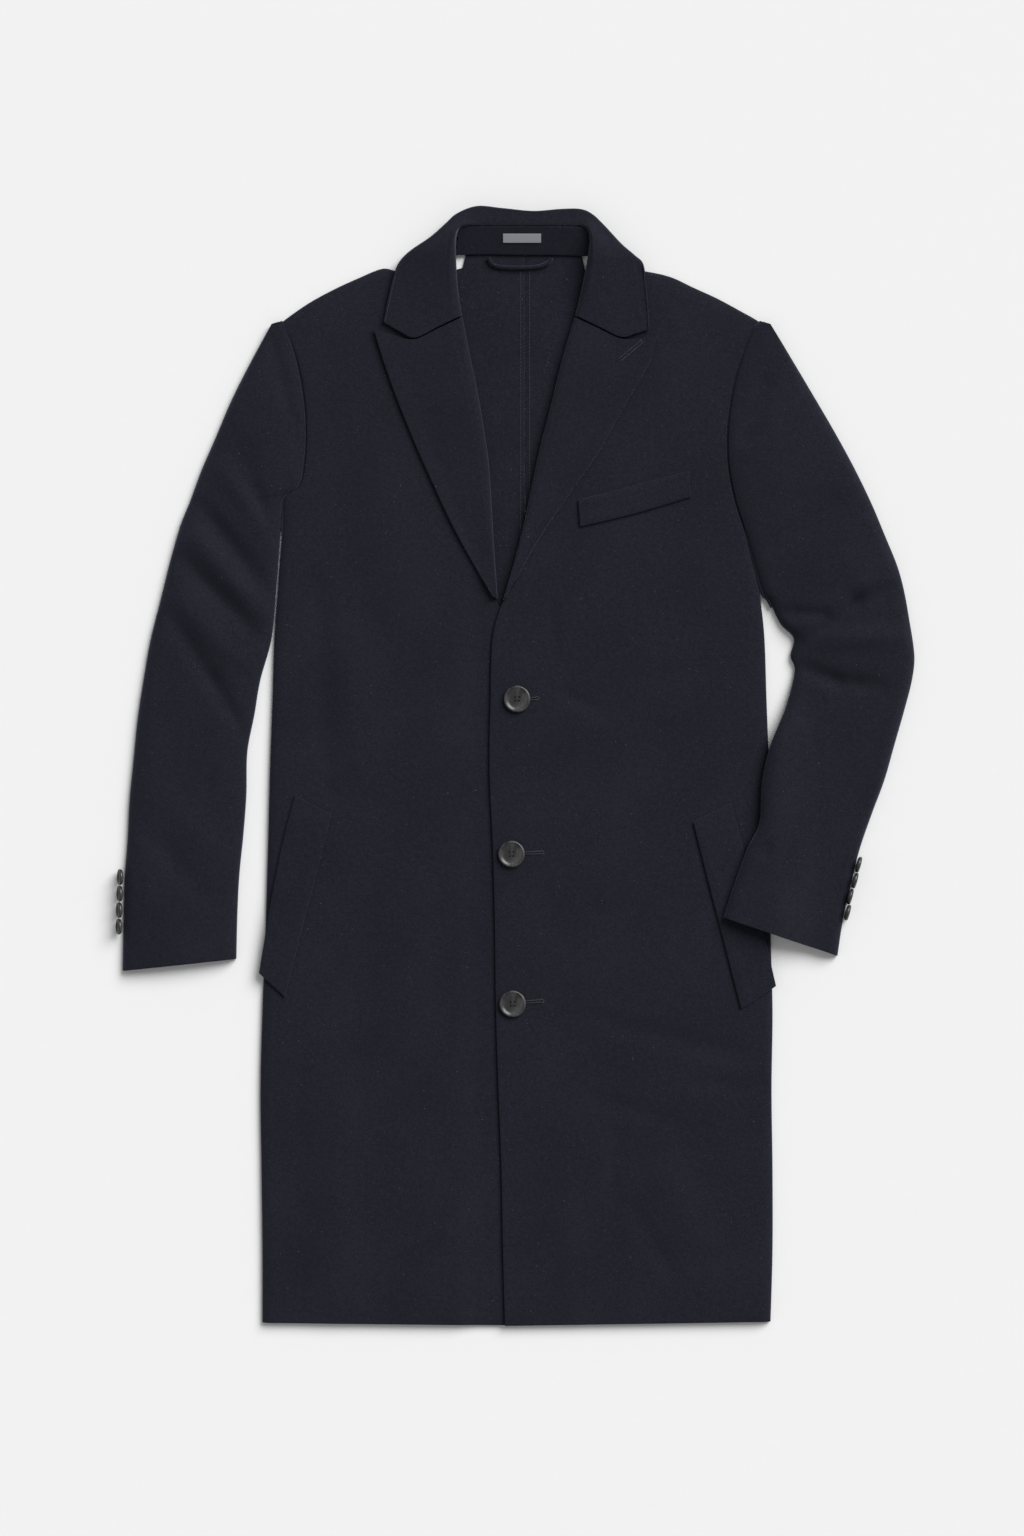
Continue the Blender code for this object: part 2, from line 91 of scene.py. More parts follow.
# Label on the sloping stand, in drawing units apart from its thickness in metres
LABEL_THICK = 0.0006
LABEL_DROP = 7.4
LABEL_DEEP = 8.6
STAND_DEEP = 27.4

# Stitches in drawing units, buttonholes in metres, button holes as shares of the button's radius
STITCH_LONG = 2.7
STITCH_PITCH = 3.6
BUTTONHOLE_HALF_GAP = 0.0011
BUTTONHOLE_THREAD = 0.00055
HOLE_RING = 0.19
HOLE_RADIUS = 0.078
BUTTON_DISH = 0.60

# Stage
FLOOR_HALF = 6.0
FLOOR_DROP = 0.0002
CAMERA_DISTANCE = 3.2

# Panel rails, one row for each station: inner edge right, down, outer edge right, down
FRONT_RIGHT_RAILS = (
    (531, 1326, 262, 1323), (530, 1250, 262, 1250), (530, 1170, 261, 1170), (530, 1090, 260, 1090),
    (530, 1010, 262, 1010), (530, 930, 265, 930), (530, 850, 267.5, 850), (530, 770, 269.5, 770),
    (530, 700, 272, 700), (526, 640, 274, 640), (490, 590, 278, 582), (488, 530, 282, 530),
    (486, 502, 284, 499), (484, 480, 300, 486), (480, 450, 306, 455), (474, 405, 306, 410),
    (467, 370, 301, 374), (460, 330, 292, 343), (451, 258, 281, 322),
)
FRONT_LEFT_RAILS = (
    (505, 1326, 771, 1322), (503, 1250, 773, 1250), (501.5, 1170, 773, 1170), (498.5, 1090, 772, 1090),
    (496, 1010, 773, 1010), (495, 930, 771, 930), (493, 850, 770.5, 850), (489.5, 770, 769.5, 770),
    (490.5, 700, 767, 700), (492.5, 640, 765, 640), (502, 604, 761.5, 604), (516, 580, 758, 580),
    (526, 540, 746, 536), (536, 503, 735, 502), (546, 465, 728, 466), (556, 425, 727, 430),
    (566, 385, 732, 390), (575, 348, 742, 355), (592, 262, 761, 322),
)
FRONT_RIGHT_SHOULDER = (
    (451, 258), (425, 265), (399, 270), (382, 268), (358, 277.5), (334, 288.5), (310, 301.5),
    (290, 315), (281, 322),
)
FRONT_LEFT_SHOULDER = (
    (592, 262), (618, 268), (642, 270), (670, 276), (694, 287), (718, 298), (742, 311), (753, 317),
    (761, 322),
)
SLEEVE_RIGHT_RAILS = (
    (279.4, 321.5, 271, 324), (291, 343, 262, 340), (299, 374, 248, 366), (304, 404, 231, 400),
    (305.4, 435, 214, 440), (303.4, 462, 201, 470), (298.6, 485, 190, 500), (282.6, 500, 180, 525),
    (280.6, 530, 170, 560), (276.6, 582, 160, 600), (271.5, 637, 150, 640), (260, 680, 143, 680),
    (254, 715, 137, 720), (247, 752, 133, 760), (246, 795, 129, 800), (243, 835, 127, 840),
    (239, 875, 124, 880), (237, 915, 123, 920), (236, 959, 122, 971),
)
SLEEVE_LEFT_RAILS = (
    (762.6, 321.5, 771, 324), (753.8, 331, 781, 340), (743.8, 355, 793, 360), (734, 390, 815, 397),
    (728.7, 431, 836, 433), (729.8, 466, 855, 468), (736.8, 501, 872, 503), (747.2, 535, 885, 534),
    (762, 590, 898, 566), (769, 600, 905, 592), (781, 624, 910, 620), (794, 638, 914, 645),
    (791, 656, 915, 662), (795, 671, 912, 683), (786, 706, 905, 710), (770, 745, 895, 745),
    (761.6, 782, 885, 780), (759, 822, 872, 815), (746, 850, 860, 850), (733, 886, 852, 883),
    (727, 904, 844, 917), (723, 917, 838, 956),
)
LAPEL_RIGHT_RAILS = (
    (497.5, 598, 493, 597), (493, 530, 457, 534), (489, 466, 425, 466), (484, 430, 410, 431),
    (478, 394, 396, 396), (471, 360, 384, 362), (462.5, 317.5, 374, 329.5),
)
LAPEL_LEFT_RAILS = (
    (503, 600, 506.5, 597), (520.5, 538, 542, 534), (538, 456, 596, 456), (545, 428, 612, 428),
    (552, 400, 628, 400), (562, 360, 650, 362), (574.5, 317.5, 657, 336.5),
)
LAPEL_RIGHT_GORGE = ((462.5, 317.5), (439, 328.5), (415, 339.5), (395, 336), (374, 329.5))
LAPEL_LEFT_GORGE = ((574.5, 317.5), (598, 328.5), (621, 339), (639, 338.5), (657, 336.5))
COLLAR_RAILS = (
    (462, 315.8, 383.5, 322), (459, 297, 388, 300), (457.2, 280, 393, 279), (456.5, 266, 398, 264.5),
    (456, 252, 408, 252), (456, 241, 430, 237), (458, 232, 445, 224), (464, 227.5, 457, 213.5),
    (478, 226.5, 477, 206), (502, 226.5, 502, 208), (533, 226.5, 533, 211), (560, 226.5, 560, 209),
    (578, 227, 580, 209), (586, 229.5, 592, 214), (589.5, 237, 604, 225), (589, 248, 622, 244),
    (587.5, 258, 635, 255), (586, 267, 643, 264), (582.8, 283, 646, 282), (579.5, 298, 648, 302),
    (575, 315.8, 650, 329),
)
COLLAR_RIGHT_END = ((462, 315.8), (439, 326.7), (415, 337.8), (399, 331), (383.5, 322))
COLLAR_LEFT_END = ((575, 315.8), (598, 326.7), (621, 337), (636, 333.5), (650, 329))

# Collar heights, one row for each rail station:
# foot and top at the inner edge, then top and foot at the outer edge
COLLAR_HEIGHTS = (
    (0.0040, 0.0130, 0.0104, 0.0100), (0.0040, 0.0150, 0.0106, 0.0101), (0.0040, 0.0175, 0.0110, 0.0103),
    (0.0040, 0.0195, 0.0116, 0.0104), (0.0042, 0.0210, 0.0130, 0.0), (0.0050, 0.0215, 0.0140, 0.0),
    (0.0080, 0.0205, 0.0150, 0.0), (0.0126, 0.0180, 0.0150, 0.0), (0.0140, 0.0150, 0.0140, 0.0),
    (0.0140, 0.0146, 0.0135, 0.0), (0.0140, 0.0146, 0.0135, 0.0), (0.0140, 0.0146, 0.0135, 0.0),
    (0.0140, 0.0150, 0.0140, 0.0), (0.0126, 0.0180, 0.0150, 0.0), (0.0080, 0.0205, 0.0150, 0.0),
    (0.0050, 0.0215, 0.0140, 0.0), (0.0042, 0.0210, 0.0130, 0.0), (0.0040, 0.0195, 0.0116, 0.0104),
    (0.0040, 0.0175, 0.0110, 0.0103), (0.0040, 0.0150, 0.0106, 0.0101), (0.0040, 0.0130, 0.0104, 0.0100),
)
STAND_RAILS = (
    (460, 228.4, 454.5, 255), (484, 227.2, 482, 254), (521, 227.2, 521, 254.6), (556, 227.2, 561, 254.8),
    (588, 228.8, 591, 256),
)
FLAP_RIGHT_RAILS = (
    (331.5, 814, 295, 795), (318, 868, 281, 850), (302, 930, 269.5, 910), (285, 997, 259, 973),
)
FLAP_LEFT_RAILS = (
    (693, 822, 731, 803), (710, 889, 748, 866), (725, 947, 762, 925), (741, 1009, 776, 986),
)
WELT_RAILS = ((578, 500, 580, 527), (634, 485.5, 636, 513.5), (689, 471, 691, 497))
LABEL_RAILS = ((503, 234.6, 503, 243.2), (541, 234.6, 541, 243.2))
LOOP_PATH = (
    (488.6, 257.2), (490.5, 261.5), (495, 265), (503, 266.6), (519, 267.2), (536, 266.4), (545, 264),
    (549.5, 260.8), (551, 257.2),
)

# Folds: from right, down, to right, down, half width, rise in metres (a trough is negative)
RIGHT_FRONT_FOLDS = (
    (318, 590, 326, 790, 15, -0.0018), (350, 640, 358, 770, 22, 0.0015), (464, 770, 460, 850, 13, -0.0008),
    (373, 1295, 456, 1185, 14, -0.0018), (402, 1300, 482, 1196, 17, 0.0016),
    (345, 1080, 335, 1300, 20, 0.0014),
    (298, 1080, 294, 1310, 13, -0.0013), (430, 640, 440, 760, 26, 0.0011), (385, 450, 398, 600, 28, 0.0010),
    (335, 420, 348, 570, 18, -0.0011), (420, 900, 400, 1040, 24, 0.0011), (370, 930, 352, 1080, 18, -0.0010),
)
LEFT_FRONT_FOLDS = (
    (551, 606, 552, 656, 6, -0.0017), (564, 694, 604, 712, 7, -0.0011), (539, 967, 597, 909, 9, -0.0016),
    (597, 909, 655, 845, 13, -0.0009), (589, 1017, 746, 1058, 10, -0.0013),
    (597, 1100, 672, 1120, 9, -0.0011),
    (697, 1083, 763, 1087, 8, -0.0010), (614, 1133, 614, 1224, 9, -0.0011),
    (630, 1207, 672, 1274, 10, -0.0013),
    (696, 1265, 746, 1249, 9, -0.0011), (575, 742, 700, 700, 24, 0.0012), (620, 965, 690, 935, 22, 0.0013),
    (655, 1150, 690, 1225, 22, 0.0012), (700, 560, 722, 680, 20, 0.0011), (640, 680, 700, 668, 12, -0.0008),
    (560, 1180, 572, 1300, 16, 0.0010),
)
RIGHT_SLEEVE_FOLDS = (
    (272, 345, 300, 445, 8, -0.0014), (255, 490, 274, 535, 7, -0.0024), (200, 508, 268, 592, 11, -0.0046),
    (182, 560, 262, 640, 10, -0.0042), (170, 618, 212, 680, 9, -0.0034), (212, 680, 246, 736, 8, -0.0030),
    (196, 540, 262, 612, 11, 0.0030), (182, 600, 240, 668, 11, 0.0026), (222, 470, 282, 552, 11, 0.0022),
    (212, 772, 206, 792, 6, -0.0014), (145, 828, 202, 892, 12, -0.0018), (165, 800, 216, 850, 14, 0.0014),
    (246, 675, 236, 668, 6, -0.0018), (150, 700, 150, 900, 12, 0.0012), (225, 420, 262, 500, 12, -0.0012),
)
LEFT_SLEEVE_FOLDS = (
    (765, 385, 742, 436, 9, -0.0020), (732, 446, 764, 430, 6, -0.0014), (835, 505, 776, 547, 12, -0.0022),
    (785, 614, 824, 614, 6, -0.0030), (797, 655, 855, 602, 9, -0.0048), (855, 602, 896, 587, 9, -0.0036),
    (796, 666, 836, 681, 8, -0.0040), (836, 681, 878, 686, 9, -0.0028), (805, 716, 856, 686, 9, -0.0018),
    (812, 640, 905, 636, 11, 0.0032), (806, 628, 860, 584, 9, 0.0020), (908, 676, 842, 940, 9, 0.0022),
    (752, 845, 764, 850, 7, -0.0020), (800, 790, 780, 880, 13, -0.0012), (840, 560, 800, 600, 12, 0.0016),
    (815, 740, 800, 860, 16, 0.0012),
)

FRONT_BUTTONS = ((517, 699), (511.5, 854), (512.6, 1003.7))
RIGHT_CUFF_BUTTONS = ((122.3, 877), (121.8, 893.5), (121.3, 910), (121.0, 926.5))
LEFT_CUFF_BUTTONS = ((856.6, 864), (853.0, 880), (848.2, 896), (845.6, 912))
CUFF_BUTTON_HEIGHT = 0.0078
RIGHT_CUFF_TILT = math.radians(-72)
LEFT_CUFF_TILT = math.radians(80)
LEFT_CUFF_TURN = math.radians(-15)
BUTTONHOLES = (
    ("front_buttonhole_1", (522, 699.5), (536, 698.5)),
    ("front_buttonhole_2", (519, 853.5), (541, 852.5)),
    ("front_buttonhole_3", (520, 1002.5), (541, 1001)),
)
LAPEL_BUTTONHOLE = ((620, 360), (643, 341))
SEAM_STITCH_ROWS = (520.6, 529.4)
SEAM_STITCH_TOP = 270.0
SEAM_STITCH_END = 640.0

# Where the image-right forearm lies over the body
FOREARM_BASE = 0.0108
RAMP_INNER = 0.236
RAMP_OUTER = 0.282
RAMP_START = 0.108
RAMP_FULL = 0.030

# Light: where the key comes from, its strength and spread, and the even light of the room
KEY_FROM = (0.8, 0.9, 1.0)
KEY_STRENGTH = 3.28
KEY_SPREAD = math.radians(40)
ROOM_STRENGTH = 0.35


class TopcoatSizes(bpy.types.PropertyGroup):
    """Sizes that shape the coat's looks."""

    cloth: bpy.props.FloatProperty(
        name="Cloth", description="Thickness of one layer of wool", default=0.002, unit="LENGTH")
    body_top: bpy.props.FloatProperty(
        name="Body height", description="Height of the fronts over the floor", default=0.0075, unit="LENGTH")
    sleeve_puff: bpy.props.FloatProperty(
        name="Sleeve height", description="Height of the sleeves at their middle", default=0.0125,
        unit="LENGTH")
    mesh_step: bpy.props.FloatProperty(
        name="Mesh step", description="Distance between cloth mesh rows", default=0.0036, unit="LENGTH")
    front_button: bpy.props.FloatProperty(
        name="Front button", description="Radius of a front button", default=0.0125, unit="LENGTH")
    cuff_button: bpy.props.FloatProperty(
        name="Cuff button", description="Radius of a cuff button", default=0.0075, unit="LENGTH")
    button_thick: bpy.props.FloatProperty(
        name="Button thickness", description="Height of a button at its rim", default=0.0036, unit="LENGTH")
    thread: bpy.props.FloatProperty(
        name="Thread", description="Radius of the sewing thread", default=0.00032, unit="LENGTH")
    loop: bpy.props.FloatProperty(
        name="Loop", description="Radius of the hanger loop", default=0.0019, unit="LENGTH")


class TopcoatColours(bpy.types.PropertyGroup):
    """Colours of the coat's cloth, buttons and stage."""

    wool_dark: bpy.props.FloatVectorProperty(
        name="Wool shade", description="Wool between the fibres", subtype="COLOR", size=3,
        default=(0.0036, 0.0039, 0.0074))
    wool_light: bpy.props.FloatVectorProperty(
        name="Wool light", description="Raised wool fibres", subtype="COLOR", size=3,
        default=(0.0120, 0.0128, 0.0230))
    lint: bpy.props.FloatVectorProperty(
        name="Lint", description="Pale fibres caught in the nap", subtype="COLOR", size=3,
        default=(0.115, 0.120, 0.150))
    horn_dark: bpy.props.FloatVectorProperty(
        name="Horn dark", description="Dark of the buttons", subtype="COLOR", size=3,
        default=(0.010, 0.010, 0.012))
    horn_light: bpy.props.FloatVectorProperty(
        name="Horn light", description="Light streaks of the buttons", subtype="COLOR", size=3,
        default=(0.070, 0.066, 0.066))
    label: bpy.props.FloatVectorProperty(
        name="Label", description="Bare label tape", subtype="COLOR", size=3, default=(0.30, 0.31, 0.34))
    thread: bpy.props.FloatVectorProperty(
        name="Thread", description="Sewing thread", subtype="COLOR", size=3, default=(0.016, 0.017, 0.027))
    floor: bpy.props.FloatVectorProperty(
        name="Floor", description="Plain floor", subtype="COLOR", size=3, default=(0.88, 0.88, 0.88))


def sizes():
    """The sizes stored on the scene."""
    return bpy.context.scene.topcoat_sizes


def colours():
    """The colours stored on the scene."""
    return bpy.context.scene.topcoat_colours


class Shade:
    """Value socket whose arithmetic adds Math nodes."""

    def __init__(self, bench, socket):
        self.bench = bench
        self.socket = socket

    def __add__(self, other):
        return self.bench.math("ADD", self, other)

    def __sub__(self, other):
        return self.bench.math("SUBTRACT", self, other)

    def __rsub__(self, other):
        return self.bench.math("SUBTRACT", other, self)

    def __mul__(self, other):
        return self.bench.math("MULTIPLY", self, other)

    __radd__ = __add__
    __rmul__ = __mul__


class Bench:
    """One material being made, with its Principled shader."""

    def __init__(self, name):
        self.material = bpy.data.materials.new(name)
        self.material.use_nodes = True
        self.tree = self.material.node_tree
        self.shader = self.tree.nodes["Principled BSDF"]

    def add(self, kind, settings, inputs, output):
        """Add a node: settings first, then its sockets' values or links; gives the named output."""
        node = self.tree.nodes.new(kind)
        for key, value in settings.items():
            setattr(node, key, value)
        for key, value in inputs.items():
            self.feed(node.inputs[key], value)
        return Shade(self, node.outputs[output])

    def feed(self, socket, value):
        """Link a shade to a socket, or set the socket's value."""
        if isinstance(value, Shade):
            self.tree.links.new(value.socket, socket)
        else:
            socket.default_value = value

    def math(self, operation, first, second):
        """One Math node on two values."""
        return self.add("ShaderNodeMath", {"operation": operation}, {0: first, 1: second}, "Value")

    def noise(self, place, scale, detail):
        """Noise over the cloth's own metres."""
        inputs = {"Vector": place, "Scale": scale, "Detail": detail}
        return self.add("ShaderNodeTexNoise", {}, inputs, "Fac")

    def range(self, value, low, high):
        """Value spread from low..high to 0..1."""
        inputs = {"Value": value, "From Min": low, "From Max": high}
        return self.add("ShaderNodeMapRange", {}, inputs, "Result")

    def blend(self, share, first, second):
        """Mix of two colours."""
        inputs = {0: share, 6: first, 7: second}
        return self.add("ShaderNodeMix", {"data_type": "RGBA"}, inputs, 2)

    def place(self):
        """Position on the piece in metres."""
        return self.add("ShaderNodeTexCoord", {}, {}, "Object")

    def raise_by(self, height, strength, distance):
        """Bump the shader's normal by a height."""
        inputs = {"Height": height, "Strength": strength, "Distance": distance}
        self.feed(self.shader.inputs["Normal"], self.add("ShaderNodeBump", {}, inputs, "Normal"))

    def set(self, **values):
        """Set the shader's own sockets by name, with underscores for spaces."""
        for key, value in values.items():
            self.feed(self.shader.inputs[key.replace("_", " ")], value)


def opaque(colour):
    """Four-part colour."""
    return (*colour, 1.0)


def wool_material():
    """Brushed navy wool: mottled nap, fine fibre, a soft sheen and a little pale lint."""
    tones = colours()
    bench = Bench("navy_wool")
    place = bench.place()
    mottle = bench.noise(place, 14.0, 3.0)
    clump = bench.noise(place, 260.0, 3.0)
    nap = bench.noise(place, 720.0, 4.0)
    fibre = bench.noise(place, 2100.0, 2.0)
    fluff = bench.range(nap * 0.50 + fibre * 0.30 + clump * 0.20, 0.36, 0.66)
    tone = fluff * 0.78 + bench.range(mottle, 0.3, 0.7) * 0.22
    cloth = bench.blend(tone, opaque(tones.wool_dark), opaque(tones.wool_light))
    lint = bench.range(bench.noise(place, 760.0, 1.0), 0.77, 0.83)
    bench.set(
        Base_Color=bench.blend(lint, cloth, opaque(tones.lint)),
        Roughness=0.97 - fluff * 0.10,
        Sheen_Weight=0.30,
        Sheen_Roughness=0.42,
        Sheen_Tint=(0.50, 0.54, 0.78, 1.0),
        Specular_IOR_Level=0.25,
    )
    bench.raise_by(nap * 0.55 + fibre * 0.25 + clump * 0.35, 0.55, 0.0009)
    return bench.material


def horn_material():
    """Polished dark horn with faint cloudy streaks and fine scratches."""
    tones = colours()
    bench = Bench("dark_horn")
    place = bench.place()
    stretched = bench.add(
        "ShaderNodeMapping", {}, {"Vector": place, "Scale": (1.0, 0.35, 1.0)}, "Vector")
    streak = bench.range(bench.noise(stretched, 190.0, 3.0), 0.42, 0.74)
    scratch = bench.noise(stretched, 1500.0, 2.0)
    bench.set(
        Base_Color=bench.blend(streak, opaque(tones.horn_dark), opaque(tones.horn_light)),
        Roughness=0.30 + scratch * 0.16,
        Coat_Weight=0.25,
        Coat_Roughness=0.25,
    )
    bench.raise_by(scratch, 0.15, 0.0002)
    return bench.material


def label_material():
    """Pale woven tape, bare."""
    bench = Bench("label_tape")
    place = bench.place()
    weave = bench.add(
        "ShaderNodeTexWave", {"bands_direction": "Y"},
        {"Vector": place, "Scale": 420.0, "Distortion": 1.5}, "Fac")
    shade = tuple(part * 0.72 for part in colours().label)
    bench.set(
        Base_Color=bench.blend(weave, opaque(shade), opaque(colours().label)),
        Roughness=0.80 - weave * 0.15,
        Sheen_Weight=0.2,
    )
    bench.raise_by(weave, 0.4, 0.0002)
    return bench.material


def thread_material():
    """Twisted sewing thread."""
    bench = Bench("sewing_thread")
    place = bench.place()
    twist = bench.noise(place, 2400.0, 2.0)
    shade = tuple(part * 0.5 for part in colours().thread)
    bench.set(
        Base_Color=bench.blend(bench.range(twist, 0.35, 0.65), opaque(shade), opaque(colours().thread)),
        Roughness=0.75 + twist * 0.15,
        Sheen_Weight=0.25,
    )
    bench.raise_by(twist, 0.4, 0.0002)
    return bench.material


MATERIAL_MAKERS = {
    "navy_wool": wool_material,
    "dark_horn": horn_material,
    "label_tape": label_material,
    "sewing_thread": thread_material,
}


def finish_material(name):
    """Material by name, made once."""
    return bpy.data.materials.get(name) or MATERIAL_MAKERS[name]()


def plan(right, down):
    """Metres in plan for a drawing point."""
    return ((right - ORIGIN_RIGHT) * DRAWING_UNIT, (ORIGIN_DOWN - down) * DRAWING_UNIT)


def ease(low, high, value):
    """Smooth step from 0 at low to 1 at high."""
    share = min(1.0, max(0.0, (value - low) / (high - low)))
    return share * share * (3.0 - 2.0 * share)


def along(rows, share):
    """Point at a share of the way along rows of numbers, through each row in turn."""
    place = min(max(share, 0.0), 1.0) * (len(rows) - 1)
    start = min(int(place), len(rows) - 2)
    t = place - start
    first = rows[max(start - 1, 0)]
    second = rows[start]
    third = rows[start + 1]
    fourth = rows[min(start + 2, len(rows) - 1)]
    point = []
    for a, b, c, d in zip(first, second, third, fourth):
        slope_in = (c - a) / 2.0
        slope_out = (d - b) / 2.0
        cubic = 2.0 * (b - c) + slope_in + slope_out
        square = 3.0 * (c - b) - 2.0 * slope_in - slope_out
        point.append(((cubic * t + square) * t + slope_in) * t + b)
    return point


def fold_rise(folds, right, down):
    """Height that a list of folds adds at a drawing point; a fold fades toward its ends."""
    rise = 0.0
    for start_right, start_down, end_right, end_down, half_width, height in folds:
        run_right = end_right - start_right
        run_down = end_down - start_down
        length_squared = run_right * run_right + run_down * run_down
        share = ((right - start_right) * run_right + (down - start_down) * run_down) / length_squared
        held = min(1.0, max(0.0, share))
        gap = math.hypot(right - start_right - held * run_right, down - start_down - held * run_down)
        if gap < 3.0 * half_width:
            fade = 0.55 + 0.45 * math.sin(math.pi * (0.15 + 0.7 * held))
            rise += FOLD_STRENGTH * height * fade * math.exp(-(gap / half_width) ** 2)
    return rise


def forearm_base(right, down):
    """Height of the surface under the image-right sleeve: floor, or the body it lies on."""
    x, y = plan(right, down)
    return FOREARM_BASE * (1.0 - ease(RAMP_INNER, RAMP_OUTER, x)) * (1.0 - ease(RAMP_FULL, RAMP_START, y))


def floor_base(right, down):
    """Height of the floor."""
    return 0.0


def spread(count, start=0.0, end=1.0):
    """Evenly spaced shares with both ends."""
    return [start + (end - start) * index / (count - 1) for index in range(count)]


def edge_turn():
    """How cloth turns down at an edge: distance in from it, share of the height, foot first."""
    turn = [(0.0004, 0.0)]
    for share in spread(TURN_COLUMNS, 0.0, 1.0):
        angle = share * math.pi / 2.0
        inset = EDGE_TURN_REACH * (1.0 - math.cos(angle)) ** 1.3
        turn.append((inset, TURN_FOOT_LEVEL + (1.0 - TURN_FOOT_LEVEL) * math.sin(angle)))
    return turn


def turned_columns(inner_turn, outer_turn, count):
    """Columns across a panel: share of the width, inset in metres, share of the height, edge.

    The edge is -1 on the inner turn, 1 on the outer turn and 0 between them.
    """
    turn = edge_turn()
    columns = []
    if inner_turn:
        columns += [(0.0, inset, level, -1) for inset, level in turn]
    first = FLAT_START if inner_turn else 0.0
    last = FLAT_END if outer_turn else 1.0
    columns += [(share, 0.0, 1.0, 0) for share in spread(count, first, last)]
    if outer_turn:
        columns += [(1.0, -inset, level, 1) for inset, level in reversed(turn)]
    return columns


def ruled_point(rails, row, column, end_curve=None, start_curve=None, reach=0.12):
    """Drawing point on a panel at a row share and one of its columns."""
    inner_right, inner_down, outer_right, outer_down = along(rails, row)
    width = math.hypot(outer_right - inner_right, outer_down - inner_down) * DRAWING_UNIT
    inset = column[1] * min(1.0, NARROW_TURN_SHARE * width / EDGE_TURN_REACH)
    share = column[0] + inset / width
    right = inner_right + share * (outer_right - inner_right)
    down = inner_down + share * (outer_down - inner_down)
    for curve, edge, weight in (
        (end_curve, rails[-1], ease(1.0 - reach, 1.0, row)),
        (start_curve, rails[0], 1.0 - ease(0.0, reach, row)),
    ):
        if curve and weight > 0.0:
            curve_right, curve_down = along(curve, share)
            right += weight * (curve_right - edge[0] - share * (edge[2] - edge[0]))
            down += weight * (curve_down - edge[1] - share * (edge[3] - edge[1]))
    return right, down


def dress(piece, node, finish):
    """Ride a piece on the coat, give it its finish and let it stand for a CAD node."""
    piece.data.materials.append(finish_material(finish))
    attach(piece, "root")
    if node:
        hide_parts(node)
    return piece


def link_piece(name, data):
    """New object in the scene."""
    piece = bpy.data.objects.new(name, data)
    bpy.context.scene.collection.objects.link(piece)
    return piece


def cloth_piece(node, rows, columns, point, finish="navy_wool", thick=None):
    """Thin cloth shell for a CAD node: point(row, column) gives its upper face's x, y, z."""
    work = bmesh.new()
    bmesh.ops.create_grid(work, x_segments=len(columns) - 1, y_segments=len(rows) - 1, size=0.5)
    for vertex in work.verts:
        column = columns[round((vertex.co.x + 0.5) * (len(columns) - 1))]
        row = rows[round((vertex.co.y + 0.5) * (len(rows) - 1))]
        vertex.co = point(row, column)
    work.normal_update()
    if sum(face.normal.z * face.calc_area() for face in work.faces) < 0.0:
        bmesh.ops.reverse_faces(work, faces=work.faces)
    for face in work.faces:
        face.smooth = True
    mesh = bpy.data.meshes.new(node + "_cloth")
    work.to_mesh(mesh)
    work.free()
    piece = link_piece(node + "_cloth", mesh)
    wall = piece.modifiers.new("wall", "SOLIDIFY")
    wall.thickness = thick or sizes().cloth
    wall.offset = -1.0
    edge = piece.modifiers.new("soft_edge", "BEVEL")
    edge.width = 0.28 * wall.thickness
    edge.segments = 2
    edge.limit_method = "ANGLE"
    edge.angle_limit = math.radians(50)
    dress(piece, node, finish)
    return piece


def rows_for(length):
    """Row shares for a panel of a length in metres."""
    return spread(max(8, round(length / sizes().mesh_step)))


def front_height(folds, lapped, right, down):
    """Height of a front's upper face at a drawing point."""
    x, y = plan(right, down)
    height = sizes().body_top + fold_rise(folds, right, down) * ease(LAP_EDGE, LAP_EDGE + 0.04, abs(x))
    if lapped:
        height -= UNDERLAP_DROP * ease(-0.060, -0.030, x) * (1.0 - ease(0.16, 0.19, y))
    return height


def make_front(node, rails, shoulder, folds, lapped):
    """Front panel: free at its front edge, turned down to the floor at the side and shoulder."""
    armpit = ARMPIT_ROW / (len(rails) - 1)
    turn = [(1.0 - inset / SHOULDER_ROW_LENGTH, level) for inset, level in reversed(edge_turn())]
    body_rows = [(share * (turn[0][0] - 0.012), 1.0) for share in rows_for(1.0)]
    rows = body_rows + turn

    def point(place, column):
        row, top = place
        if column[3]:
            top = max(top, TIP_LEVEL)
        right, down = ruled_point(rails, row, column, end_curve=shoulder)
        x, y = plan(right, down)
        side_drop = 1.0 - 0.8 * ease(armpit - 0.03, armpit + 0.01, row)
        level = 1.0 - (1.0 - column[2]) * side_drop
        return x, y, front_height(folds, lapped, right, down) * level * top

    return cloth_piece(node, rows, turned_columns(False, True, 72), point)


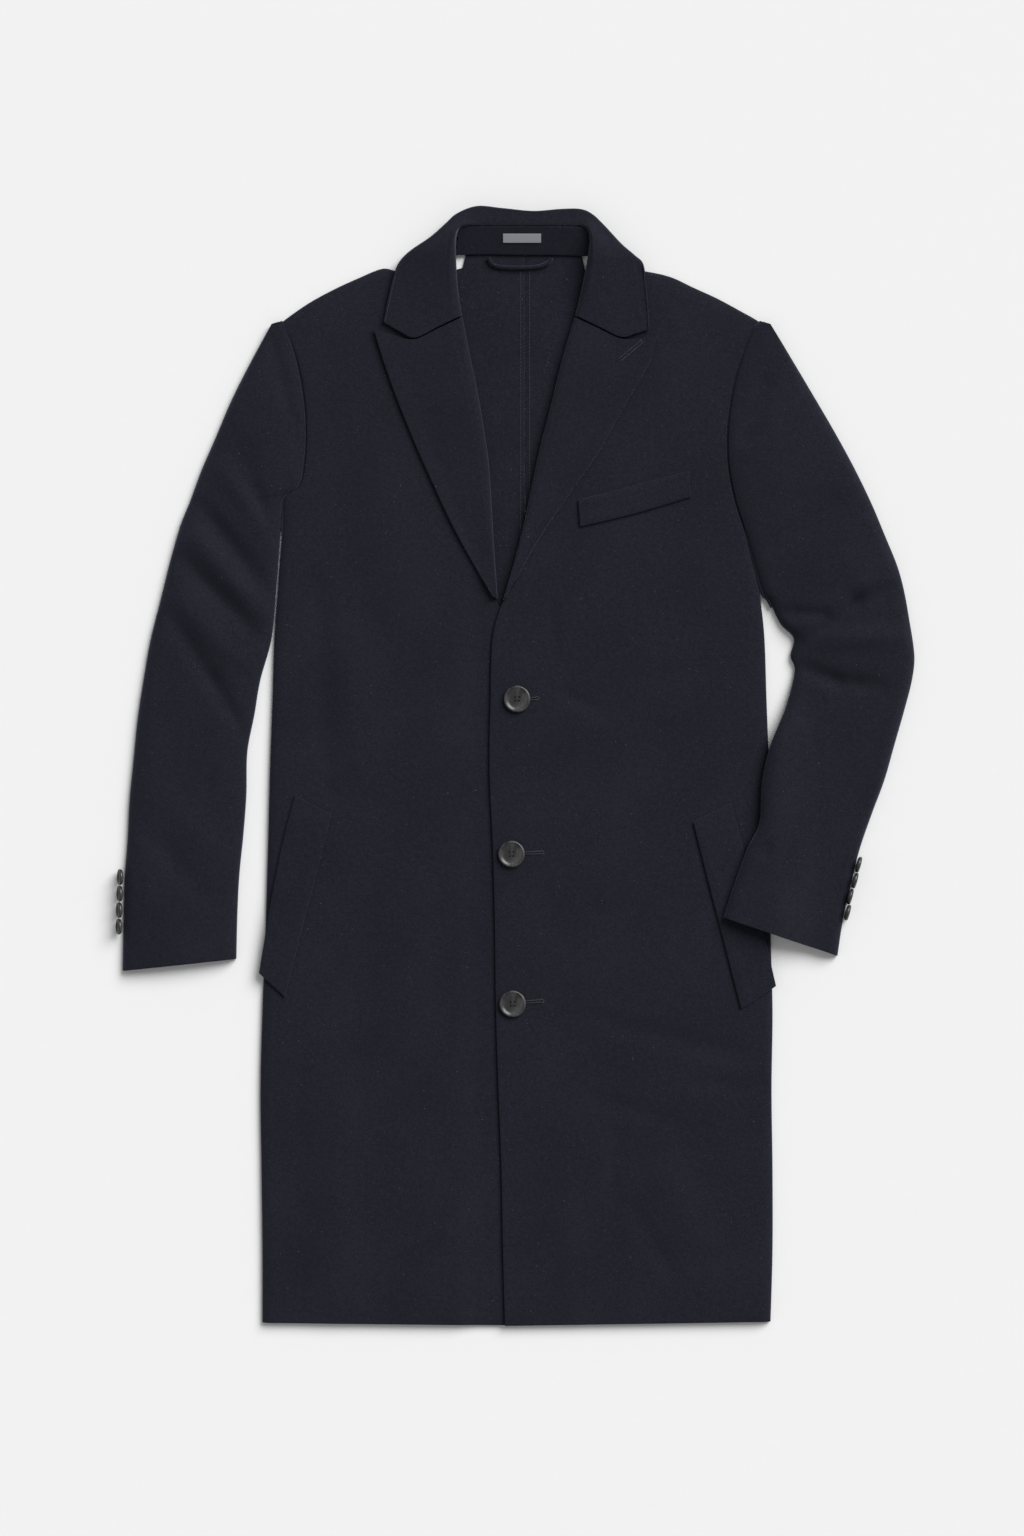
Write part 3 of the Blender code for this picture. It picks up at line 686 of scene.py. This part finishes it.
def make_back(node, rails, shoulder):
    """Back panel: flat on the floor from the centre seam to just inside the front's turned edge."""
    armpit = ARMPIT_ROW / (len(rails) - 1)
    inward = 1.0 if rails[0][2] < CENTRE_BACK else -1.0
    inset = EDGE_INSET / DRAWING_UNIT
    seam = CENTRE_BACK - inward * 0.16
    tip_down = rails[-1][3]
    columns = [(share, 0.0, 1.0, 0) for share in spread(40)]

    def top_line(share):
        if share < NECK_SHARE:
            return NECK_DOWN
        fade = 1.0 - ease(0.84, 1.0, share)
        return along(shoulder, (share - NECK_SHARE) / (1.0 - NECK_SHARE))[1] + SHOULDER_INSET * fade

    def point(place, column):
        share = column[0]
        row = place * (1.0 - TIP_SHORTENING * ease(0.6, 1.0, share))
        side = along(rails, row)
        free = 1.0 - ease(armpit - 0.03, armpit + 0.01, row)
        edge_right = side[2] + inward * (inset * free + 0.4)
        middle_down = HEM_DOWN + (NECK_DOWN - HEM_DOWN) * row
        right = seam + share * (edge_right - seam)
        down = middle_down + share * (side[3] - middle_down)
        ruled_top = NECK_DOWN + share * (tip_down - NECK_DOWN)
        down += ease(0.72, 1.0, row) * (top_line(share) - ruled_top)
        x, y = plan(right, down)
        return x, y, sizes().cloth

    return cloth_piece(node, spread(120, 0.002, 1.0), columns, point)


def make_sleeve(side, rails, folds, base):
    """Upper sleeve turned down along both edges, and the flat under sleeve between them."""
    free_row = SLEEVE_FREE_ROW / (len(rails) - 1)
    size = sizes()

    def upper(row, column):
        right, down = ruled_point(rails, row, column)
        x, y = plan(right, down)
        free = ease(free_row - 0.06, free_row + 0.02, row)
        level = column[2]
        if column[3] < 0:
            level = 1.0 - (1.0 - column[2]) * (0.22 + 0.78 * free)
        across = min(1.0, max(0.0, column[0] + column[1] / 0.1))
        swell = math.sin(math.pi * across) ** 0.5
        puff = size.body_top + (size.sleeve_puff - size.body_top) * swell * ease(0.0, 0.22, row)
        return x, y, base(right, down) + (puff + fold_rise(folds, right, down) * swell) * level

    def lower(row, column):
        free = ease(free_row - 0.06, free_row + 0.02, row)
        inset = -UNDER_SLEEVE_INSET
        if column[0] < 0.5:
            inset = ARMHOLE_GAP + (UNDER_SLEEVE_INSET - ARMHOLE_GAP) * free
        inner_right, inner_down, outer_right, outer_down = along(rails, row)
        width = math.hypot(outer_right - inner_right, outer_down - inner_down) * DRAWING_UNIT
        share = column[0] + (inset / width if column[3] else 0.0)
        right = inner_right + share * (outer_right - inner_right)
        down = inner_down + share * (outer_down - inner_down)
        x, y = plan(right, down)
        return x, y, base(right, down) + size.cloth

    cloth_piece(
        "top_sleeve_" + side, rows_for(0.70), turned_columns(True, True, 34), upper)
    flat = [(share, 0.0, 1.0, edge) for share, edge in zip(spread(16), [-1] + [0] * 14 + [1])]
    cloth_piece("under_sleeve_" + side, spread(90, 0.07, 0.998), flat, lower)


def make_lapel(node, rails, gorge):
    """Lapel facing: turned over the front's edge at the roll and laid on the front."""
    size = sizes()

    def point(row, column):
        right, down = ruled_point(rails, row, column, end_curve=gorge, reach=0.3)
        x, y = plan(right, down)
        across = min(1.0, column[0] + column[1] / 0.06)
        rolled = LAPEL_ROLL * (1.0 - across) ** 2 * ease(0.0, 0.25, row)
        spring = LAPEL_SPRING * ease(0.72, 1.0, across) * ease(0.0, 0.2, row)
        top = size.body_top + LAY_GAP + size.cloth + rolled + spring
        return x, y, ROLL_FOOT + (top - ROLL_FOOT) * column[2]

    cloth_piece(node, rows_for(0.30), turned_columns(True, False, 36), point)


def stand_height(share):
    """Height of the stand's face from its top seam (share 0) to the neck seam (share 1)."""
    return STAND_TOP + (STAND_FOOT - STAND_TOP) * share


def make_laid(node, rails, height, counts, finish="navy_wool", thick=None):
    """Flat piece laid on another: height(share, edge) is its upper face."""
    row_count, column_count = counts

    def point(row, column):
        right, down = ruled_point(rails, row, column)
        x, y = plan(right, down)
        edge = min(row, 1.0 - row, column[0], 1.0 - column[0])
        return x, y, height(column[0], edge)

    columns = [(share, 0.0, 1.0, 0) for share in spread(column_count)]
    return cloth_piece(node, spread(row_count), columns, point, finish, thick)


def thread_curve(name, runs, radius, node=None, finish="sewing_thread", closed=False):
    """Round thread or cord through each run of points."""
    curve = bpy.data.curves.new(name, "CURVE")
    curve.dimensions = "3D"
    curve.bevel_depth = radius
    curve.bevel_resolution = 2
    curve.use_fill_caps = True
    for run in runs:
        path = curve.splines.new("POLY")
        path.points.add(len(run) - 1)
        path.use_cyclic_u = closed
        for point, place in zip(path.points, run):
            point.co = (*place, 1.0)
    return dress(link_piece(name, curve), node, finish)


def button_mesh(name, radius):
    """Dished four-hole button with a raised rim, turned and then drilled."""
    thick = sizes().button_thick
    profile = (
        (0.0, BUTTON_DISH), (0.50, BUTTON_DISH), (0.66, 0.64), (0.76, 0.74), (0.82, 0.92), (0.87, 1.0),
        (0.93, 0.98), (0.98, 0.84), (1.0, 0.62), (0.97, 0.34), (0.88, 0.12), (0.72, 0.0), (0.0, 0.0),
    )
    work = bmesh.new()
    points = [work.verts.new((radius * across, 0.0, thick * up)) for across, up in profile]
    edges = [work.edges.new(pair) for pair in zip(points, points[1:])]
    bmesh.ops.spin(
        work, geom=points + edges, axis=(0, 0, 1), cent=(0, 0, 0), angle=math.tau, steps=56, use_merge=True)
    bmesh.ops.remove_doubles(work, verts=work.verts, dist=0.000005)
    bmesh.ops.recalc_face_normals(work, faces=work.faces)
    blank = bpy.data.meshes.new(name + "_blank")
    work.to_mesh(blank)
    work.free()
    drill = bmesh.new()
    for turn in range(4):
        angle = math.radians(45 + 90 * turn)
        spot = (HOLE_RING * radius * math.cos(angle), HOLE_RING * radius * math.sin(angle), thick / 2)
        bmesh.ops.create_cone(
            drill, cap_ends=True, segments=18, radius1=HOLE_RADIUS * radius, radius2=HOLE_RADIUS * radius,
            depth=3 * thick, matrix=Matrix.Translation(spot))
    bits = bpy.data.meshes.new(name + "_bits")
    drill.to_mesh(bits)
    drill.free()
    blank_piece = link_piece(name + "_blank", blank)
    bits_piece = link_piece(name + "_bits", bits)
    cut = blank_piece.modifiers.new("holes", "BOOLEAN")
    cut.object = bits_piece
    cut.operation = "DIFFERENCE"
    cut.solver = "EXACT"
    graph = bpy.context.evaluated_depsgraph_get()
    mesh = bpy.data.meshes.new_from_object(blank_piece.evaluated_get(graph))
    mesh.name = name
    for piece in (blank_piece, bits_piece):
        bpy.data.objects.remove(piece, do_unlink=True)
    for face in mesh.polygons:
        face.use_smooth = True
    mesh.set_sharp_from_angle(angle=math.radians(38))
    return mesh


def make_button(node, mesh, place, tilt=0.0, turn=0.0):
    """Put a button where its CAD node is."""
    piece = link_piece(node + "_horn", mesh)
    piece.location = place
    piece.rotation_euler = (0.0, tilt, turn)
    if not mesh.materials:
        mesh.materials.append(finish_material("dark_horn"))
    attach(piece, "root")
    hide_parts(node)
    return piece


class TOPCOAT_OT_backs(bpy.types.Operator):
    """Make both back panels and the stitched centre-back seam"""

    bl_idname = "topcoat.backs"
    bl_label = "Backs"

    def execute(self, context):
        make_back("back_right", FRONT_RIGHT_RAILS, FRONT_RIGHT_SHOULDER)
        make_back("back_left", FRONT_LEFT_RAILS, FRONT_LEFT_SHOULDER)
        height = sizes().cloth + 0.4 * sizes().thread
        runs = []
        for right in SEAM_STITCH_ROWS:
            for step in range(int((SEAM_STITCH_END - SEAM_STITCH_TOP) / STITCH_PITCH)):
                down = SEAM_STITCH_TOP + step * STITCH_PITCH
                runs.append([(*plan(right, down), height), (*plan(right, down + STITCH_LONG), height)])
        thread_curve("centre_back_stitches", runs, sizes().thread)
        return {"FINISHED"}


class TOPCOAT_OT_fronts(bpy.types.Operator):
    """Make both front panels"""

    bl_idname = "topcoat.fronts"
    bl_label = "Fronts"

    def execute(self, context):
        make_front(
            "front_right", FRONT_RIGHT_RAILS, FRONT_RIGHT_SHOULDER, RIGHT_FRONT_FOLDS, True)
        make_front(
            "front_left", FRONT_LEFT_RAILS, FRONT_LEFT_SHOULDER, LEFT_FRONT_FOLDS, False)
        return {"FINISHED"}


class TOPCOAT_OT_sleeves(bpy.types.Operator):
    """Make both sleeves"""

    bl_idname = "topcoat.sleeves"
    bl_label = "Sleeves"

    def execute(self, context):
        make_sleeve("right", SLEEVE_RIGHT_RAILS, RIGHT_SLEEVE_FOLDS, floor_base)
        make_sleeve("left", SLEEVE_LEFT_RAILS, LEFT_SLEEVE_FOLDS, forearm_base)
        last_row = SLEEVE_FREE_ROW / (len(SLEEVE_RIGHT_RAILS) - 1)
        seams = (("right", SLEEVE_RIGHT_RAILS, SEAM_SHIFT), ("left", SLEEVE_LEFT_RAILS, -SEAM_SHIFT))
        for side, rails, toward_body in seams:
            run = []
            for share in spread(70, 0.0, last_row):
                right, down = along(rails, share)[:2]
                run.append((*plan(right + toward_body, down), SEAM_HEIGHT))
            thread_curve("armhole_seam_" + side, [run], SEAM_RADIUS, finish="navy_wool")
        return {"FINISHED"}


class TOPCOAT_OT_lapels(bpy.types.Operator):
    """Make both lapels and the lapel buttonhole"""

    bl_idname = "topcoat.lapels"
    bl_label = "Lapels"

    def execute(self, context):
        make_lapel("lapel_right", LAPEL_RIGHT_RAILS, LAPEL_RIGHT_GORGE)
        make_lapel("lapel_left", LAPEL_LEFT_RAILS, LAPEL_LEFT_GORGE)
        height = sizes().body_top + LAY_GAP + sizes().cloth + 0.0010
        (start_right, start_down), (end_right, end_down) = LAPEL_BUTTONHOLE
        runs = []
        for shift in (-1.1, 1.1):
            runs.append([
                (*plan(start_right + shift, start_down + shift), height),
                (*plan(end_right + shift, end_down + shift), height),
            ])
        thread_curve("lapel_buttonhole", runs, sizes().thread)
        return {"FINISHED"}


class TOPCOAT_OT_collar(bpy.types.Operator):
    """Make the collar, its stand, the bare label and the hanger loop"""

    bl_idname = "topcoat.collar"
    bl_label = "Collar"

    def execute(self, context):
        def point(row, column):
            right, down = ruled_point(COLLAR_RAILS, row, column, COLLAR_LEFT_END, COLLAR_RIGHT_END, 0.1)
            x, y = plan(right, down)
            inner_foot, inner_top, outer_top, outer_foot = along(COLLAR_HEIGHTS, row)
            inner_foot, outer_foot = max(inner_foot, 0.004), max(outer_foot, 0.0)
            if column[3] < 0:
                return x, y, inner_foot + (inner_top - inner_foot) * column[2]
            if column[3] > 0:
                return x, y, outer_foot + (outer_top - outer_foot) * column[2]
            share = ease(-0.15, 1.15, (column[0] - FLAT_START) / (FLAT_END - FLAT_START))
            return x, y, inner_top + (outer_top - inner_top) * share

        cloth_piece(
            "top_collar", rows_for(0.62), turned_columns(True, True, 22), point)
        make_laid(
            "collar_stand", STAND_RAILS, lambda share, edge: stand_height(share), (60, 14))

        def label_height(share, edge):
            return stand_height((LABEL_DROP + LABEL_DEEP * share) / STAND_DEEP) + LAY_GAP + LABEL_THICK

        make_laid(
            "label", LABEL_RAILS, label_height, (20, 8),
            "label_tape", LABEL_THICK)
        height = sizes().cloth + LAY_GAP + sizes().loop
        run = [(*plan(*along(LOOP_PATH, share)), height) for share in spread(64)]
        thread_curve("hanger_loop_cloth", [run], sizes().loop, "hanger_loop", "navy_wool")
        return {"FINISHED"}


class TOPCOAT_OT_pockets(bpy.types.Operator):
    """Make both hip flaps and the chest welt"""

    bl_idname = "topcoat.pockets"
    bl_label = "Pockets"

    def execute(self, context):
        top = sizes().body_top + LAY_GAP + sizes().cloth

        def crowned(share, edge):
            return top + 0.0006 * ease(0.0, 0.16, edge)

        make_laid(
            "hip_flap_right", FLAP_RIGHT_RAILS, crowned, (60, 20))
        make_laid(
            "hip_flap_left", FLAP_LEFT_RAILS, crowned, (60, 20))
        make_laid("chest_welt", WELT_RAILS, crowned, (36, 14))
        return {"FINISHED"}


class TOPCOAT_OT_buttons(bpy.types.Operator):
    """Make the buttons, their thread and the front buttonholes"""

    bl_idname = "topcoat.buttons"
    bl_label = "Buttons"

    def execute(self, context):
        size = sizes()
        base = size.body_top + LAY_GAP
        front_mesh = button_mesh("front_button_horn", size.front_button)
        for number, spot in enumerate(FRONT_BUTTONS, 1):
            x, y = plan(*spot)
            make_button(f"front_button_{number}", front_mesh, (x, y, base))
            reach = HOLE_RING * size.front_button * math.sqrt(0.5)
            high = base + BUTTON_DISH * size.button_thick + 0.7 * size.thread
            runs = [
                [(x - reach, y - reach, high), (x + reach, y + reach, high)],
                [(x - reach, y + reach, high + size.thread), (x + reach, y - reach, high + size.thread)],
            ]
            thread_curve(f"front_button_thread_{number}", runs, 1.2 * size.thread)
        cuff_mesh = button_mesh("cuff_button_horn", size.cuff_button)
        for number, spot in enumerate(RIGHT_CUFF_BUTTONS, 1):
            place = (*plan(*spot), CUFF_BUTTON_HEIGHT)
            make_button(f"cuff_button_right_{number}", cuff_mesh, place, RIGHT_CUFF_TILT)
        for number, spot in enumerate(LEFT_CUFF_BUTTONS, 1):
            place = (*plan(*spot), CUFF_BUTTON_HEIGHT)
            make_button(f"cuff_button_left_{number}", cuff_mesh, place, LEFT_CUFF_TILT, LEFT_CUFF_TURN)
        for name, start, end in BUTTONHOLES:
            first = Vector((*plan(*start), base))
            last = Vector((*plan(*end), base))
            run = (last - first).normalized()
            side = Vector((-run.y, run.x, 0.0)) * BUTTONHOLE_HALF_GAP
            loop = [first + side, last + side]
            for share in spread(7, 0.1, 0.9):
                angle = math.pi * (0.5 - share)
                outward = run * (2.2 * BUTTONHOLE_HALF_GAP * math.cos(angle))
                loop.append(last + outward + side * (1.5 * math.sin(angle)))
            loop += [last - side, first - side]
            thread_curve(name, [[tuple(point) for point in loop]], BUTTONHOLE_THREAD, closed=True)
        return {"FINISHED"}


class TOPCOAT_OT_stage(bpy.types.Operator):
    """Make the floor, the soft light and the camera straight above"""

    bl_idname = "topcoat.stage"
    bl_label = "Stage"

    def execute(self, context):
        scene = context.scene
        bench = Bench("pale_floor")
        grain = bench.noise(bench.place(), 60.0, 2.0)
        shade = tuple(part * 0.985 for part in colours().floor)
        bench.set(Base_Color=bench.blend(grain, opaque(shade), opaque(colours().floor)), Roughness=0.9)
        work = bmesh.new()
        bmesh.ops.create_grid(work, x_segments=1, y_segments=1, size=FLOOR_HALF)
        mesh = bpy.data.meshes.new("floor")
        work.to_mesh(mesh)
        work.free()
        mesh.materials.append(bench.material)
        floor = link_piece("floor", mesh)
        floor.location.z = -FLOOR_DROP
        lamp = bpy.data.lights.new("key_light", "SUN")
        lamp.energy = KEY_STRENGTH
        lamp.angle = KEY_SPREAD
        light = link_piece("key_light", lamp)
        light.rotation_euler = (-Vector(KEY_FROM)).to_track_quat("-Z", "Y").to_euler()
        world = bpy.data.worlds.new("soft_room")
        world.use_nodes = True
        world.node_tree.nodes["Background"].inputs["Strength"].default_value = ROOM_STRENGTH
        world.node_tree.nodes["Background"].inputs["Color"].default_value = (1.0, 1.0, 1.0, 1.0)
        scene.world = world
        scene.view_settings.view_transform = "Standard"
        lens = bpy.data.cameras.new("camera")
        lens.sensor_width = 36.0
        lens.lens = lens.sensor_width * CAMERA_DISTANCE / (PICTURE_TALL * DRAWING_UNIT)
        camera = link_piece("camera", lens)
        camera.location = (*plan(*PICTURE_MIDDLE), CAMERA_DISTANCE + sizes().body_top)
        scene.camera = camera
        return {"FINISHED"}


class TOPCOAT_PT_panel(bpy.types.Panel):
    """Lists the coat's pieces and values"""

    bl_idname = "TOPCOAT_PT_panel"
    bl_label = "Topcoat"
    bl_space_type = "VIEW_3D"
    bl_region_type = "UI"
    bl_category = "Topcoat"

    def draw(self, context):
        for operator in OPERATORS:
            self.layout.operator(operator.bl_idname)
        for group in (sizes(), colours()):
            for key in group.bl_rna.properties.keys():
                if key not in {"rna_type", "name"}:
                    self.layout.prop(group, key)


OPERATORS = (
    TOPCOAT_OT_backs,
    TOPCOAT_OT_fronts,
    TOPCOAT_OT_sleeves,
    TOPCOAT_OT_lapels,
    TOPCOAT_OT_collar,
    TOPCOAT_OT_pockets,
    TOPCOAT_OT_buttons,
    TOPCOAT_OT_stage,
)
CLASSES = (TopcoatSizes, TopcoatColours) + OPERATORS + (TOPCOAT_PT_panel,)


def register():
    """Register the coat's classes and put its values on the scene."""
    for item in CLASSES:
        bpy.utils.register_class(item)
    bpy.types.Scene.topcoat_sizes = bpy.props.PointerProperty(type=TopcoatSizes)
    bpy.types.Scene.topcoat_colours = bpy.props.PointerProperty(type=TopcoatColours)


def unregister():
    """Take the coat's values and classes away again."""
    del bpy.types.Scene.topcoat_colours
    del bpy.types.Scene.topcoat_sizes
    for item in reversed(CLASSES):
        bpy.utils.unregister_class(item)


def main():
    register()
    bpy.ops.topcoat.backs()
    bpy.ops.topcoat.fronts()
    bpy.ops.topcoat.sleeves()
    bpy.ops.topcoat.lapels()
    bpy.ops.topcoat.collar()
    bpy.ops.topcoat.pockets()
    bpy.ops.topcoat.buttons()
    bpy.ops.topcoat.stage()


if __name__ == "__main__":
    main()
